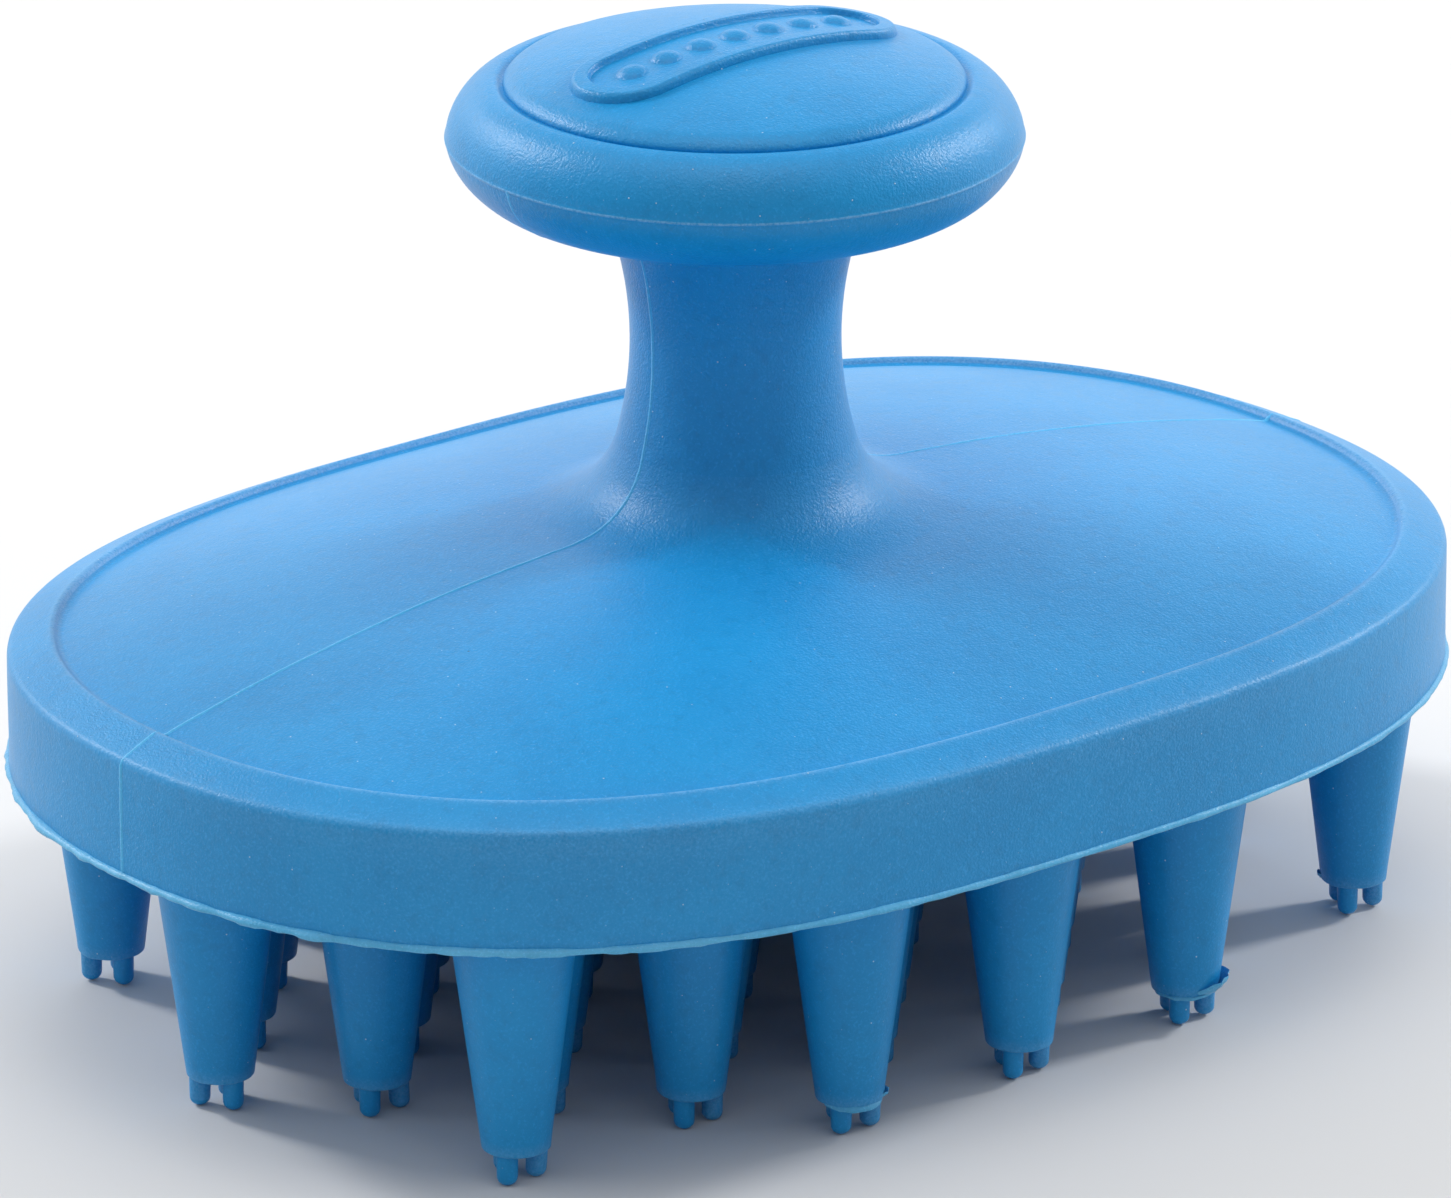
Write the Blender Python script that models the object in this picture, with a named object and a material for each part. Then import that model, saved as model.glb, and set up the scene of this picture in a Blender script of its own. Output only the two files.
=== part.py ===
"""Scalp massager brush: an oval silicone base with a mushroom handle above and flexible bristles below.

Metres, +Z up. X runs along the oval, Y across it. Z = 0 is the surface that the bristle nubs stand on.
"""

import math

import bmesh
import bpy

# Oval base
BASE_LENGTH = 0.1200
BASE_WIDTH = 0.0861
OUTLINE_POWER_X = 2.77
OUTLINE_POWER_Y = 2.155
RIM_HEIGHT = 0.0097
RIM_WIDTH = 0.00436
RIM_EDGE_RADIUS = 0.0008
RIM_RISE = 0.0012
FIELD_STEP = 0.0004
CROWN_RISE = 0.0064
CROWN_POWER = 2.2

# Handle
STEM_WAIST_RADIUS = 0.00825
STEM_FLARE = 17.0
FOOT_RADIUS = 0.0170
FOOT_RISE = 0.0048
FOOT_TO_WAIST = 0.0084
WAIST_TO_KNOB = 0.0115
KNOB_RADIUS = 0.0224
KNOB_UNDERSIDE_RADIUS = 0.0170
KNOB_LOWER_HEIGHT = 0.0049
KNOB_UPPER_HEIGHT = 0.0044
KNOB_LOWER_POWER = 1.72
KNOB_UPPER_POWER = 1.75
DISC_RADIUS = 0.0179
DISC_EDGE = 0.0004
DISC_CROWN = 0.0026
SHOULDER_LEDGE = 0.0007
PAD_LENGTH = 0.0300
PAD_WIDTH = 0.0090
PAD_THICKNESS = 0.0007

# Bristles
BRISTLE_LENGTH = 0.0184
BRISTLE_TIP_RADIUS = 0.0026
BRISTLE_DRAFT = math.radians(7.5)
BRISTLES_PER_ROW = (3, 6, 5, 6, 7, 6, 5, 6, 3)
BRISTLE_EDGE_MARGIN = 0.0038
HINGE_BELOW_BASE = 0.0020
NUB_COUNT = 3
NUB_LENGTH = 0.0025
NUB_RADIUS = 0.00085
NUB_END_RADIUS = 0.0005
NUB_CIRCLE_RADIUS = 0.0016
NUB_ROOT_DEPTH = 0.0006
OUTER_ROW_TURN = math.radians(37.0)
INNER_ROW_TURN = math.radians(10.0)

# Fits
CLEARANCE = 0.0003

# Facets
OUTLINE_FACETS = 64
ROUND_FACETS = 32
BRISTLE_FACETS = 12
POCKET_FACETS = 14
NUB_FACETS = 6
RIM_EDGE_STEPS = 2
FIELD_RINGS = 4
FOOT_RINGS = 4
STEM_RINGS = 8
KNOB_EDGE_STEPS = 4
DISC_RING_SHARES = (0.30, 0.60, 0.85, 1.0)
PAD_END_STEPS = 6
PAD_SIDE_STEPS = 4
ROOT_DOME_SHARES = (0.62, 0.3)
SHARP_ANGLE = math.radians(35.0)

# Heights that follow from the sizes above
UNDERSIDE_Z = NUB_LENGTH + BRISTLE_LENGTH
RIM_TOP_Z = UNDERSIDE_Z + RIM_HEIGHT
FIELD_EDGE_Z = RIM_TOP_Z + RIM_RISE - FIELD_STEP
CROWN_Z = FIELD_EDGE_Z + CROWN_RISE
FOOT_TOP_Z = CROWN_Z + FOOT_RISE
WAIST_Z = FOOT_TOP_Z + FOOT_TO_WAIST
KNOB_BOTTOM_Z = WAIST_Z + WAIST_TO_KNOB
KNOB_WIDEST_Z = KNOB_BOTTOM_Z + KNOB_LOWER_HEIGHT
KNOB_TOP_Z = KNOB_WIDEST_Z + KNOB_UPPER_HEIGHT
DISC_BOTTOM_Z = KNOB_TOP_Z + CLEARANCE
DISC_EDGE_Z = DISC_BOTTOM_Z + DISC_EDGE

BRISTLE_ROOT_RADIUS = BRISTLE_TIP_RADIUS + BRISTLE_LENGTH * math.tan(BRISTLE_DRAFT)
DOME_RADIUS = math.hypot(BRISTLE_ROOT_RADIUS, HINGE_BELOW_BASE)
POCKET_DEPTH = DOME_RADIUS - HINGE_BELOW_BASE + CLEARANCE
POCKET_RADIUS = (BRISTLE_ROOT_RADIUS + CLEARANCE) / math.cos(math.pi / POCKET_FACETS)
HINGE_Z = UNDERSIDE_Z - HINGE_BELOW_BASE

BLUE = (0.012, 0.245, 0.560, 1.0)
LIGHT_BLUE = (0.018, 0.270, 0.600, 1.0)
BODY_ROUGHNESS = 0.50
KNOB_ROUGHNESS = 0.46


def clear_scene():
    for obj in list(bpy.data.objects):
        bpy.data.objects.remove(obj)


def silicone(name, colour, roughness):
    """A soft, slightly glossy silicone rubber."""
    material = bpy.data.materials.new(name)
    material.use_nodes = True
    shader = material.node_tree.nodes["Principled BSDF"]
    shader.inputs["Base Color"].default_value = colour
    shader.inputs["Roughness"].default_value = roughness
    shader.inputs["Metallic"].default_value = 0.0
    return material


def add_object(name, mesh, material=None):
    obj = bpy.data.objects.new(name, mesh)
    bpy.context.scene.collection.objects.link(obj)
    if material:
        mesh.materials.clear()
        mesh.materials.append(material)
    return obj


def finish_mesh(name, bm):
    """Turn a bmesh into a mesh, facing out and smooth except at its real edges."""
    bmesh.ops.recalc_face_normals(bm, faces=bm.faces)
    mesh = bpy.data.meshes.new(name)
    bm.to_mesh(mesh)
    bm.free()
    mesh.shade_smooth()
    mesh.set_sharp_from_angle(angle=SHARP_ANGLE)
    return mesh


def loft(bm, rings):
    """Join closed rings of points into one solid, capped at both ends."""
    loops = [[bm.verts.new(point) for point in ring] for ring in rings]
    for lower, upper in zip(loops, loops[1:]):
        for i in range(len(lower)):
            j = (i + 1) % len(lower)
            bm.faces.new((lower[i], lower[j], upper[j], upper[i]))
    bm.faces.new(list(reversed(loops[0])))
    bm.faces.new(loops[-1])


def circle(radius, z, facets, centre=(0.0, 0.0)):
    turns = [2.0 * math.pi * i / facets for i in range(facets)]
    return [(centre[0] + radius * math.cos(t), centre[1] + radius * math.sin(t), z) for t in turns]


def turned(name, profile, facets, tip=None):
    """A solid of revolution from (radius, z) points, top to bottom, with an optional pointed top."""
    bm = bmesh.new()
    rings = [circle(radius, z, facets) for radius, z in reversed(profile)]
    loft(bm, rings)
    if tip is not None:
        cap = max(bm.faces, key=lambda face: face.calc_center_median().z)
        poked = bmesh.ops.poke(bm, faces=[cap])
        poked["verts"][0].co.z = tip
    return finish_mesh(name, bm)


def signed_power(value, power):
    return math.copysign(abs(value) ** power, value)


def outline(inset):
    """The base's oval in plan, moved inwards by the inset: |x/a|^p + |y/b|^q = 1."""
    half_length = BASE_LENGTH / 2.0
    half_width = BASE_WIDTH / 2.0
    points = []
    for i in range(OUTLINE_FACETS):
        turn = 2.0 * math.pi * i / OUTLINE_FACETS
        u = signed_power(math.cos(turn), 2.0 / OUTLINE_POWER_X)
        v = signed_power(math.sin(turn), 2.0 / OUTLINE_POWER_Y)
        normal_x = OUTLINE_POWER_X / half_length * signed_power(u, OUTLINE_POWER_X - 1.0)
        normal_y = OUTLINE_POWER_Y / half_width * signed_power(v, OUTLINE_POWER_Y - 1.0)
        length = math.hypot(normal_x, normal_y)
        x = half_length * u - inset * normal_x / length
        y = half_width * v - inset * normal_y / length
        points.append((x, y))
    return points


def crown_height(x, y, edge):
    """Height of the domed field at (x, y), where edge is the field's border in the same direction."""
    share = math.hypot(x, y) / math.hypot(*edge)
    return CROWN_Z - CROWN_RISE * share**CROWN_POWER


def field_rings(count):
    """Rings from the field's border to the circle where the handle's foot begins."""
    border = outline(RIM_WIDTH)
    rings = []
    for step in range(count + 1):
        share = step / count
        ring = []
        for x, y in border:
            scale = FOOT_RADIUS / math.hypot(x, y)
            px = x * (1.0 - share + share * scale)
            py = y * (1.0 - share + share * scale)
            ring.append((px, py, crown_height(px, py, (x, y))))
        rings.append(ring)
    return rings


def stem_radius(z):
    return STEM_WAIST_RADIUS + STEM_FLARE * (z - WAIST_Z) ** 2


def foot_rings(start, count):
    """The fillet from the field up to the stem, as a quadratic curve in each direction."""
    top_radius = stem_radius(FOOT_TOP_Z)
    rings = []
    for step in range(1, count + 1):
        s = step / count
        ring = []
        for x, y, z in start:
            flare = 2.0 * STEM_FLARE * FOOT_TO_WAIST
            bend_radius = top_radius + flare * (FOOT_TOP_Z - z)
            radius = (1 - s) ** 2 * FOOT_RADIUS + 2 * s * (1 - s) * bend_radius + s**2 * top_radius
            height = z + s**2 * (FOOT_TOP_Z - z)
            direction = math.hypot(x, y)
            ring.append((x / direction * radius, y / direction * radius, height))
        rings.append(ring)
    return rings


def bristle_places():
    """(row, column, x, y) of each bristle: staggered rows, fitted inside the rim."""
    rows = len(BRISTLES_PER_ROW)
    inset = BRISTLE_EDGE_MARGIN + BRISTLE_ROOT_RADIUS
    pitch_x = (BASE_LENGTH - 2.0 * inset) / (max(BRISTLES_PER_ROW) - 1)
    pitch_y = (BASE_WIDTH - 2.0 * inset) / (rows - 1)
    places = []
    for row, count in enumerate(BRISTLES_PER_ROW):
        y = (row - (rows - 1) / 2.0) * pitch_y
        for column in range(count):
            x = (column - (count - 1) / 2.0) * pitch_x
            places.append((row + 1, column + 1, x, y))
    return places


def make_pocket_cutter(places):
    """One mesh of round plugs, cut out of the base's underside to seat the bristle roots."""
    bm = bmesh.new()
    for _, _, x, y in places:
        bottom = circle(POCKET_RADIUS, UNDERSIDE_Z - POCKET_DEPTH, POCKET_FACETS, (x, y))
        top = circle(POCKET_RADIUS, UNDERSIDE_Z + POCKET_DEPTH, POCKET_FACETS, (x, y))
        loft(bm, [bottom, top])
    cutter = add_object("pocket_cutter", finish_mesh("pocket_cutter", bm))
    cutter.hide_render = True
    cutter.display_type = "WIRE"
    return cutter


def make_base(places):
    """The oval pad: side wall, sloping rim, recessed dome and the foot of the handle."""
    rings = [[(x, y, UNDERSIDE_Z) for x, y in outline(0.0)]]
    for step in range(RIM_EDGE_STEPS + 1):
        turn = math.pi / 2.0 * step / RIM_EDGE_STEPS
        inset = RIM_EDGE_RADIUS * (1.0 - math.cos(turn))
        z = RIM_TOP_Z - RIM_EDGE_RADIUS * (1.0 - math.sin(turn))
        rings.append([(x, y, z) for x, y in outline(inset)])
    rim_inner = outline(RIM_WIDTH - FIELD_STEP)
    rings.append([(x, y, RIM_TOP_Z + RIM_RISE) for x, y in rim_inner])
    field = field_rings(FIELD_RINGS)
    rings.extend(field)
    rings.extend(foot_rings(field[-1], FOOT_RINGS))
    bm = bmesh.new()
    loft(bm, rings)
    material = silicone("base silicone", BLUE, BODY_ROUGHNESS)
    base = add_object("oval_base", finish_mesh("oval_base", bm), material)
    pockets = base.modifiers.new("pockets", "BOOLEAN")
    pockets.operation = "DIFFERENCE"
    pockets.solver = "EXACT"
    pockets.object = make_pocket_cutter(places)


def make_stem():
    """The waisted column between the foot and the knob."""
    top = KNOB_BOTTOM_Z - CLEARANCE
    bottom = FOOT_TOP_Z + CLEARANCE
    heights = [top + (bottom - top) * i / STEM_RINGS for i in range(STEM_RINGS + 1)]
    profile = [(stem_radius(z), z) for z in heights]
    mesh = turned("handle_stem", profile, ROUND_FACETS)
    add_object("handle_stem", mesh, silicone("stem silicone", BLUE, BODY_ROUGHNESS))


def rounded_edge(start, end, power, steps):
    """(radius, z) points of a superelliptic quarter from the widest point to an end."""
    points = []
    for i in range(steps + 1):
        turn = math.pi / 2.0 * i / steps
        across = math.cos(turn) ** (2.0 / power)
        along = math.sin(turn) ** (2.0 / power)
        points.append((end[0] + (start[0] - end[0]) * across, start[1] + (end[1] - start[1]) * along))
    return points


def make_knob():
    """The round head that the fingers hold."""
    widest = (KNOB_RADIUS, KNOB_WIDEST_Z)
    ledge = (DISC_RADIUS + SHOULDER_LEDGE, KNOB_TOP_Z)
    underside = (KNOB_UNDERSIDE_RADIUS, KNOB_BOTTOM_Z)
    upper = rounded_edge(widest, ledge, KNOB_UPPER_POWER, KNOB_EDGE_STEPS)
    lower = rounded_edge(widest, underside, KNOB_LOWER_POWER, KNOB_EDGE_STEPS)
    profile = list(reversed(upper)) + lower[1:]
    mesh = turned("handle_knob", profile, ROUND_FACETS)
    add_object("handle_knob", mesh, silicone("knob silicone", LIGHT_BLUE, KNOB_ROUGHNESS))


def disc_height(radius):
    """Height of the disc's domed top at a radius."""
    return DISC_EDGE_Z + DISC_CROWN * (1.0 - (radius / DISC_RADIUS) ** 2)


def make_disc():
    """The raised, domed disc on top of the knob."""
    radii = [DISC_RADIUS * share for share in DISC_RING_SHARES]
    profile = [(radius, disc_height(radius)) for radius in radii]
    profile.append((DISC_RADIUS, DISC_BOTTOM_Z))
    mesh = turned("knob_top_disc", profile, ROUND_FACETS, tip=disc_height(0.0))
    add_object("knob_top_disc", mesh, silicone("disc silicone", LIGHT_BLUE, KNOB_ROUGHNESS))


def pad_outline():
    """A capsule in plan, with long straight sides split into short stretches."""
    radius = PAD_WIDTH / 2.0
    straight = PAD_LENGTH / 2.0 - radius
    points = []
    for side in (1.0, -1.0):
        for i in range(PAD_END_STEPS + 1):
            turn = -math.pi / 2.0 + math.pi * i / PAD_END_STEPS
            points.append((side * (straight + radius * math.cos(turn)), side * radius * math.sin(turn)))
        for i in range(1, PAD_SIDE_STEPS):
            share = 1.0 - 2.0 * i / PAD_SIDE_STEPS
            points.append((side * share * straight, side * radius))
    return points


def make_pad():
    """The plain raised pad along the middle of the disc, bent to the disc's dome."""
    bm = bmesh.new()
    rings = []
    for rise in (CLEARANCE, CLEARANCE + PAD_THICKNESS):
        rings.append([(x, y, disc_height(math.hypot(x, y)) + rise) for x, y in pad_outline()])
    loops = [[bm.verts.new(point) for point in ring] for ring in rings]
    count = len(loops[0])
    for i in range(count):
        j = (i + 1) % count
        bm.faces.new((loops[0][i], loops[0][j], loops[1][j], loops[1][i]))
    for loop, rise in zip(loops, (CLEARANCE, CLEARANCE + PAD_THICKNESS)):
        add_spine(bm, loop, rise)
    mesh = finish_mesh("badge_pad", bm)
    add_object("badge_pad", mesh, silicone("pad silicone", LIGHT_BLUE, KNOB_ROUGHNESS))


def add_spine(bm, loop, rise):
    """Fill a capsule's loop with faces that meet along a middle line which follows the dome."""
    half = len(loop) // 2
    straight = PAD_LENGTH / 2.0 - PAD_WIDTH / 2.0
    stations = [straight * (1.0 - 2.0 * i / PAD_SIDE_STEPS) for i in range(PAD_SIDE_STEPS + 1)]
    spine = [bm.verts.new((x, 0.0, disc_height(abs(x)) + rise)) for x in stations]
    for start, inner in ((0, spine), (half, list(reversed(spine)))):
        last = start + PAD_END_STEPS
        for i in range(start, last):
            bm.faces.new((loop[i], loop[i + 1], inner[0]))
        for k in range(PAD_SIDE_STEPS):
            a = loop[last + k]
            b = loop[(last + k + 1) % len(loop)]
            bm.faces.new((a, b, inner[k + 1], inner[k]))


def nub_mesh():
    """The soft nubs under one bristle tip, each a short finger with a rounded end and a small flat."""
    bm = bmesh.new()
    tip_z = HINGE_BELOW_BASE - BRISTLE_LENGTH
    bevel = NUB_RADIUS - NUB_END_RADIUS
    for i in range(NUB_COUNT):
        turn = 2.0 * math.pi * i / NUB_COUNT
        centre = (NUB_CIRCLE_RADIUS * math.cos(turn), NUB_CIRCLE_RADIUS * math.sin(turn))
        end = circle(NUB_END_RADIUS, tip_z - NUB_LENGTH, NUB_FACETS, centre)
        side = circle(NUB_RADIUS, tip_z - NUB_LENGTH + bevel, NUB_FACETS, centre)
        root = circle(NUB_RADIUS, tip_z + NUB_ROOT_DEPTH, NUB_FACETS, centre)
        loft(bm, [end, side, root])
    return finish_mesh("nubs", bm)


def bristle_mesh():
    """One bristle about its hinge point: a round root, a tapered shaft and the nubs at its tip."""
    rise = math.asin(HINGE_BELOW_BASE / DOME_RADIUS)
    profile = []
    for share in ROOT_DOME_SHARES:
        turn = rise + (math.pi / 2.0 - rise) * share
        profile.append((DOME_RADIUS * math.cos(turn), DOME_RADIUS * math.sin(turn)))
    profile.append((BRISTLE_ROOT_RADIUS, HINGE_BELOW_BASE))
    profile.append((BRISTLE_TIP_RADIUS, HINGE_BELOW_BASE - BRISTLE_LENGTH))
    shaft = add_object("shaft_form", turned("shaft_form", profile, BRISTLE_FACETS, tip=DOME_RADIUS))
    nubs = add_object("nub_form", nub_mesh())
    join = shaft.modifiers.new("nubs", "BOOLEAN")
    join.operation = "UNION"
    join.solver = "EXACT"
    join.object = nubs
    graph = bpy.context.evaluated_depsgraph_get()
    mesh = bpy.data.meshes.new_from_object(shaft.evaluated_get(graph))
    mesh.name = "bristle"
    bpy.data.objects.remove(shaft)
    bpy.data.objects.remove(nubs)
    return mesh


def make_bristles(places):
    """Every bristle is its own object, with its origin on its hinge axis."""
    mesh = bristle_mesh()
    mesh.materials.clear()
    mesh.materials.append(silicone("bristle silicone", BLUE, BODY_ROUGHNESS))
    last_row = len(BRISTLES_PER_ROW)
    for row, column, x, y in places:
        bristle = add_object(f"bristle_r{row}_c{column}", mesh)
        bristle.location = (x, y, HINGE_Z)
        outer = row in (1, last_row)
        bristle.rotation_euler.z = OUTER_ROW_TURN if outer else INNER_ROW_TURN


def main():
    clear_scene()
    places = bristle_places()
    make_base(places)
    make_stem()
    make_knob()
    make_disc()
    make_pad()
    make_bristles(places)


main()
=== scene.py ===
"""Looks for the scalp massager brush: moulded silicone skins, parting lines, flash, floor, light and camera.

Metres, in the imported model's frame. X runs along the oval, Z is up, and the nubs stand on Z = 0.
Values named WAVES, PATCHES, LUMPS or RIPPLES are steps of noise in a metre.
"""

import math

import bmesh
import bpy
import numpy as np
from mathutils import Matrix, Vector, noise


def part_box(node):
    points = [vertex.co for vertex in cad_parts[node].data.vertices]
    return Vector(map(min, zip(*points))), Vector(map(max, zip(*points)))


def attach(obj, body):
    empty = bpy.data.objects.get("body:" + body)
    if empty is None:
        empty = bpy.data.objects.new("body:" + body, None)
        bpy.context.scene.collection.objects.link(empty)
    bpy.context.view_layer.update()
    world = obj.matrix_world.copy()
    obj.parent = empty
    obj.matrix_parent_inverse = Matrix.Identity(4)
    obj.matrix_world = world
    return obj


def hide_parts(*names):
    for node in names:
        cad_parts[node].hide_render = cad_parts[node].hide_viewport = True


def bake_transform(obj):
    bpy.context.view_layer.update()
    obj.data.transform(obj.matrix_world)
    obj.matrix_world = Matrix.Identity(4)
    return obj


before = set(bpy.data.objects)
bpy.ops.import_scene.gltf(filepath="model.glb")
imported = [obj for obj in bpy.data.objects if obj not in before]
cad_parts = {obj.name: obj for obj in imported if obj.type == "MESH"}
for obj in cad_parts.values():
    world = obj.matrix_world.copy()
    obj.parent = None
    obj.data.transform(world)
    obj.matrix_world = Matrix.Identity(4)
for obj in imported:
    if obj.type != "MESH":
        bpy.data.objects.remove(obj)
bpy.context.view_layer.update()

BODY = "handle_and_base"

# Shading: the angles in degrees above which an edge stays sharp, and how close points are welded
SKIN_SHARP = 40.0
SEAM_SHARP = 50.0
BRISTLE_SHARP = 38.0
FLASH_SHARP = 60.0
WELD_DISTANCE = 1e-7

# Oval base: its outline in plan, a superellipse
OUTLINE_POWER_X = 2.77
OUTLINE_POWER_Y = 2.155
OUTLINE_POINTS = 512
OUTLINE_SAMPLES = 40001

# Oval base: wall and rim
RIM_HEIGHT = 0.0097
RIM_WIDTH = 0.00436
RIM_RISE = 0.0012
RIM_OUTER_RADIUS = 0.0008
RIM_INNER_RADIUS = 0.0006
RIM_INNER_END = 150.0
RIM_STEPS = 12
OUTER_ARC_STEPS = 9
INNER_ARC_STEPS = 5
BOTTOM_RADIUS = 0.00035
BOTTOM_ARC_STEPS = 5
UNDERSIDE_SHARES = (0.2, 0.5, 0.8)
WALL_STEPS = 15
WALL_LEAN = 0.00005
WALL_UNEVENNESS = 0.00004
WALL_EVEN_HEIGHT = 0.002
WALL_WAVES = 90.0
WALL_WAVES_UP = 160.0

# Oval base: recessed domed field and foot of the handle
FIELD_STEP = 0.0004
CREASE_WIDTH = 0.0004
CREASE_SINK = 0.00008
CREASE_SPREAD = 0.0010
CREASE_STEPS = 5
CROWN_RISE = 0.0064
CROWN_POWER = 2.2
CROWN_STEPS = 64
CROWN_CROWDING = 1.35
FOOT_RADIUS = 0.0170
FOOT_STEPS = 22

# Oval base: how worn it is, from 0 to 1, and the painted highlight along the rim's inner ridge
BOTTOM_WEAR = 0.2
WALL_WEAR = 0.1
WALL_TOP_WEAR = 0.25
WALL_WEAR_POWER = 4
OUTER_WEAR = 0.4
OUTER_WEAR_FADE = 0.2
OUTER_WEAR_PEAK = 0.55
RIM_WEAR = 0.2
# Painted highlight: the pale line along the rim's inner ridge, where its rounded top catches the light
RIDGE_PAINTED_HIGHLIGHT = 0.8
RIDGE_HIGHLIGHT_POWER = 14
CROWN_WEAR = 0.06
FOOT_WEAR = 0.05
WEAR_AND_HIGHLIGHT_PATCHES = 45.0
WEAR_AND_HIGHLIGHT_MEAN = 0.75
WEAR_AND_HIGHLIGHT_VARIES = 0.6

# Stem
ROUND_POINTS = 256
STEM_FLARE = 17.0
STEM_STEPS = 48
FOOT_TO_WAIST = 0.0084
TUCK_LONG = 0.0006
TUCK_SHORT = 0.0004

# Knob
KNOB_LOWER_HEIGHT = 0.0049
KNOB_UNDERSIDE_RADIUS = 0.0170
KNOB_LOWER_POWER = 1.72
KNOB_LOWER_STEPS = 26
KNOB_UPPER_POWER = 1.75
KNOB_UPPER_STEPS = 30
KNOB_NECK_RADIUS = 0.0016
KNOB_HUB_SHARE = 0.5
KNOB_FLAT_SHARE = 0.8
KNOB_BEAD_HEIGHT = 0.00008
KNOB_BEAD_WIDTH = 0.00026
SHOULDER_LEDGE = 0.0007
SHOULDER_STEPS = 6
SHOULDER_TUCK = 0.0008

# Raised disc on the knob
DISC_CREASE_DEPTH = 0.00022
DISC_EDGE_RADIUS = 0.0014
DISC_EDGE_STEPS = 12
DISC_RISE = 0.0006
DISC_TOP_STEPS = 40
DISC_SINK = 0.0001
DISC_SKIRT_TOP = (0.00005, 0.0004)
DISC_SKIRT_BOTTOM = (0.0010, 0.0006)

# Plain badge pad
PAD_RISE = 0.0007
PAD_EDGE_RADIUS = 0.0004
PAD_BORDER = 0.0013
PAD_TRAY_DEPTH = 0.0005
PAD_SLOPE = 0.00028
PAD_DEPTH = 0.0006
PAD_EDGE_DEPTH = 0.0001
PAD_SIDE_POINTS = 320
PAD_END_POINTS = 90
PAD_STEPS = 60
PAD_CROWDING = 0.35
PIP_COUNT = 7
PIP_RADIUS = 0.00125
PIP_RISE = 0.00048
PIP_SPACING = 0.0034
PIP_POWER = 0.75

# Bristles
BRISTLE_POINTS = 48
BRISTLE_LENGTH = 0.0184
BRISTLE_SHORTENING = 0.00005
SHAFT_STEPS = 18
ROOT_FILLET = 0.0007
ROOT_FILLET_STEPS = 6
ROOT_DEPTH = 0.0006
ROOT_CORE_SHARE = 0.9
ROOT_SHOULDER_SHARE = 0.3
TIP_RADIUS = 0.0026
TIP_ROUNDING = 0.00022
TIP_ROUNDING_STEPS = 5
TIP_LIP = 0.00010
TIP_LIP_UNEVENNESS = 2.2
TIP_LIP_SHIFT = 9
TIP_WEAR = 0.45
TIP_WEAR_HEIGHT = 0.0009
SHAPE_WAVES = 700.0
SHAPE_STEP_X = 3.7
SHAPE_STEP_Y = 1.9
MIDDLE_ROW_MARGIN = 0.001

# Nubs at a bristle's tip
NUB_COUNT = 3
NUB_FACETS = 20
NUB_LENGTH = 0.0025
NUB_SHORTENING = 0.00014
NUB_RADIUS = 0.00084
NUB_CIRCLE_RADIUS = 0.0016
NUB_SINK = 0.0008
NUB_WAIST_AT = 0.45
NUB_WAIST_SHARE = 0.97
NUB_END_SHARE = 0.95
NUB_END_HEIGHT = 0.8
NUB_END_STEPS = 7
NUB_TURN = math.radians(30.0)
NUB_TURN_VARIES = math.radians(9.0)
NUB_LEAN_VARIES = math.radians(5.0)
NUB_LEAN_TURN_VARIES = 6.0

# Parting lines
SEAM_WIDTH = 0.00040
SEAM_HEIGHT = 0.00007
KNOB_SEAM_HEIGHT = 0.000035
SEAM_DEPTH = 0.00012
SEAM_SINK = 0.00001
SEAM_ROOT_WIDTH = 0.3
SEAM_POINTS_ACROSS = 9
SEAM_POWER = 1.5
SEAM_SPACING = 0.0004
SEAM_WOBBLE = 0.00009
SEAM_WAVES = 160.0
SEAM_LUMPS = 500.0
SEAM_LUMP_SHARE = 0.45
SEAM_LUMP_SEED = 5.0
SEAM_FIRST_RING = 6

# Thin lip of flash round the base's lower edge
LIP_HEIGHT = 0.00040
LIP_REACH = 0.00026
LIP_LEAST_REACH = 0.00006
LIP_REACH_VARIES = 0.55
LIP_REACH_RAGGED = 0.5
LIP_HEIGHT_VARIES = 0.25
LIP_OVERLAP = 0.0003
LIP_UNDERLAP = ((-0.0002, -0.00003), (-0.0006, 0.00008))
LIP_RIPPLES = 300.0
LIP_FINE_RIPPLES = 900.0
LIP_FINE_SHARE = 0.6
LIP_DROOP = 0.00006
LIP_DROOP_VARIES = 0.00008
LIP_DROOP_RAGGED = 0.00020
LIP_DROOP_WAVES = 420.0
LIP_RAGGED_FROM = 0.012
LIP_RAGGED_SPAN = 0.045
LIP_RAGGED_BACK = 0.8
LIP_RAGGED_FRONT = 0.2

# Torn flash on the bristles' tips
FLASH_COLUMNS = 14
FLASH_ROWS = 6
FLASH_HALF_THICKNESS = 0.00009
FLASH_HEIGHT = 0.00015
FLASH_OVERLAP = 0.00025
FLASH_ROUNDNESS = 0.6
FLASH_RAGGEDNESS = 0.35
FLASH_RAG_STEP = 0.9
FLASH_RAG_TURN = 5.0
FLASH_RAG_SEED = 4.0
FLASH_BUCKLE = 0.00012
FLASH_BUCKLE_COLUMN = 0.7
FLASH_BUCKLE_ROW = 0.8

# Each torn flash: its name and bristle, its middle's turn from the camera's right, its spread, reach and lift
TIP_FLASHES = (
    ("tip_flash_curl", "bristle_r1_c3", -0.10, 2.5, 0.0011, 0.0011),
    ("tip_flash_sheet", "bristle_r1_c3", -1.7, 2.5, 0.00045, -0.0001),
    ("tip_flash_skirt", "bristle_r1_c1", -1.3, 2.6, 0.00045, -0.0003),
    ("tip_flash_tab", "bristle_r1_c1", 0.0, 0.9, 0.0006, 0.0004),
    ("tip_flash_chip", "bristle_r2_c6", math.pi, 0.8, 0.0005, 0.0004),
)

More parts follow.
